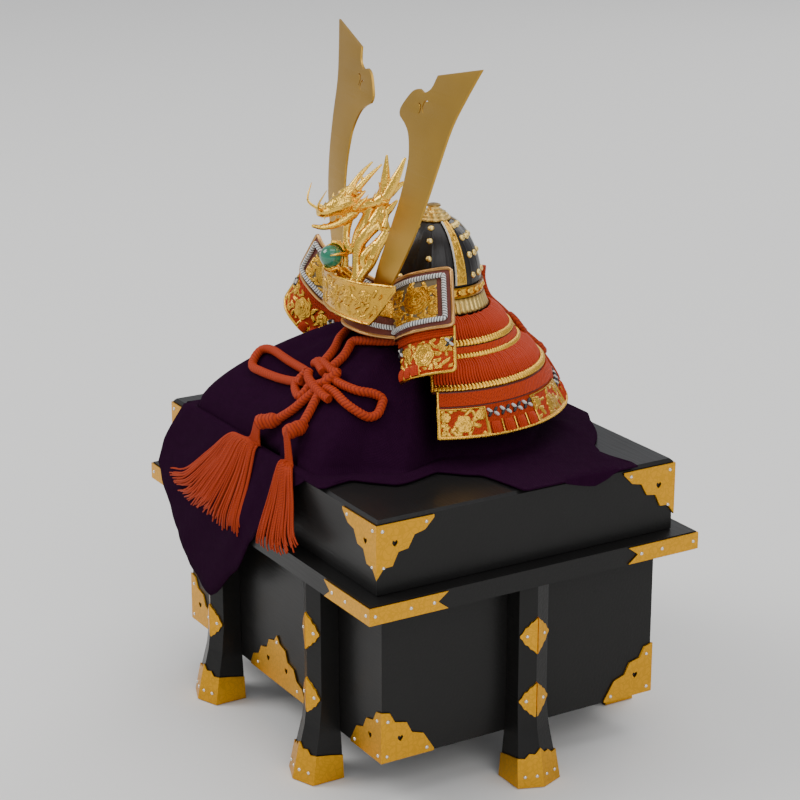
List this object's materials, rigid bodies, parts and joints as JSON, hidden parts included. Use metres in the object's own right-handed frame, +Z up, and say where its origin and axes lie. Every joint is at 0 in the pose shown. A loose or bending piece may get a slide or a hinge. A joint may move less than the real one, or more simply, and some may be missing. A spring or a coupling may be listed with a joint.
{
  "type": "kabuto samurai helmet on its lacquered armour chest with a display cloth",
  "caption": "Small display samurai helmet with tall crest horns, a dragon crest and laced neck guard, tied with a cord bow over a cloth on its black lacquered chest.",
  "frame": {"origin": "on the floor under the chest's centre", "axes": "+Z up, the front faces -Y, +X to the right as seen from the front"},
  "size_m": [0.2776, 0.2272, 0.3888],
  "materials": {
    "black_lacquer": "satin black lacquer",
    "gilt_plate": "satin gilt, finely engraved",
    "pale_gold": "bright pale gilt",
    "brown_gold": "brushed brown gold",
    "orange_lacing": "packed vermilion lacing",
    "red_brown_leather": "dark red-brown leather",
    "aubergine_cloth": "fine aubergine cloth",
    "plain_wood": "plain sanded wood",
    "green_glass": "glossy dark green",
    "orange_silk": "braided vermilion silk"
  },
  "bodies": {
    "root": {"body_plate_back_left": "gilt_plate", "body_plate_back_right": "gilt_plate", "body_plate_front_left": "gilt_plate", "body_plate_front_right": "gilt_plate", "bowl": "black_lacquer", "bowl_strip_back": "gilt_plate", "bowl_strip_front": "gilt_plate", "bowl_strip_left": "gilt_plate", "bowl_strip_right": "gilt_plate", "chest_body": "black_lacquer", "chest_flange": "black_lacquer", "chest_lid": "black_lacquer", "chin_bow": "orange_silk", "chin_cord": "orange_silk", "crest_ball": "green_glass", "crest_bracket": "brown_gold", "crest_dragon": "pale_gold", "crest_plate": "brown_gold", "crown_fitting": "pale_gold", "display_cloth": "aubergine_cloth", "flange_plate_back_left": "gilt_plate", "flange_plate_back_right": "gilt_plate", "flange_plate_front_left": "gilt_plate", "flange_plate_front_right": "gilt_plate", "fluted_band": "pale_gold", "front_plate": "gilt_plate", "guard_lame_1": "orange_lacing", "guard_lame_2": "orange_lacing", "guard_lame_3": "orange_lacing", "guard_lame_4": "orange_lacing", "guard_lame_5": "orange_lacing", "horn_left": "brown_gold", "horn_right": "brown_gold", "leg_back_left": "black_lacquer", "leg_back_right": "black_lacquer", "leg_front_left": "black_lacquer", "leg_front_right": "black_lacquer", "leg_side_left": "black_lacquer", "leg_side_right": "black_lacquer", "lid_plate_back_left": "gilt_plate", "lid_plate_back_right": "gilt_plate", "lid_plate_front_left": "gilt_plate", "lid_plate_front_right": "gilt_plate", "rear_bow": "orange_silk", "shoe_back_left": "gilt_plate", "shoe_back_right": "gilt_plate", "shoe_front_left": "gilt_plate", "shoe_front_right": "gilt_plate", "shoe_side_left": "gilt_plate", "shoe_side_right": "gilt_plate", "stand_post": "plain_wood", "stud_ring": "gilt_plate", "tassel_left": "orange_silk", "tassel_right": "orange_silk", "visor": "red_brown_leather", "wing_lower_left": "orange_lacing", "wing_lower_right": "orange_lacing", "wing_upper_left": "gilt_plate", "wing_upper_right": "gilt_plate"}
  },
  "joints": []
}
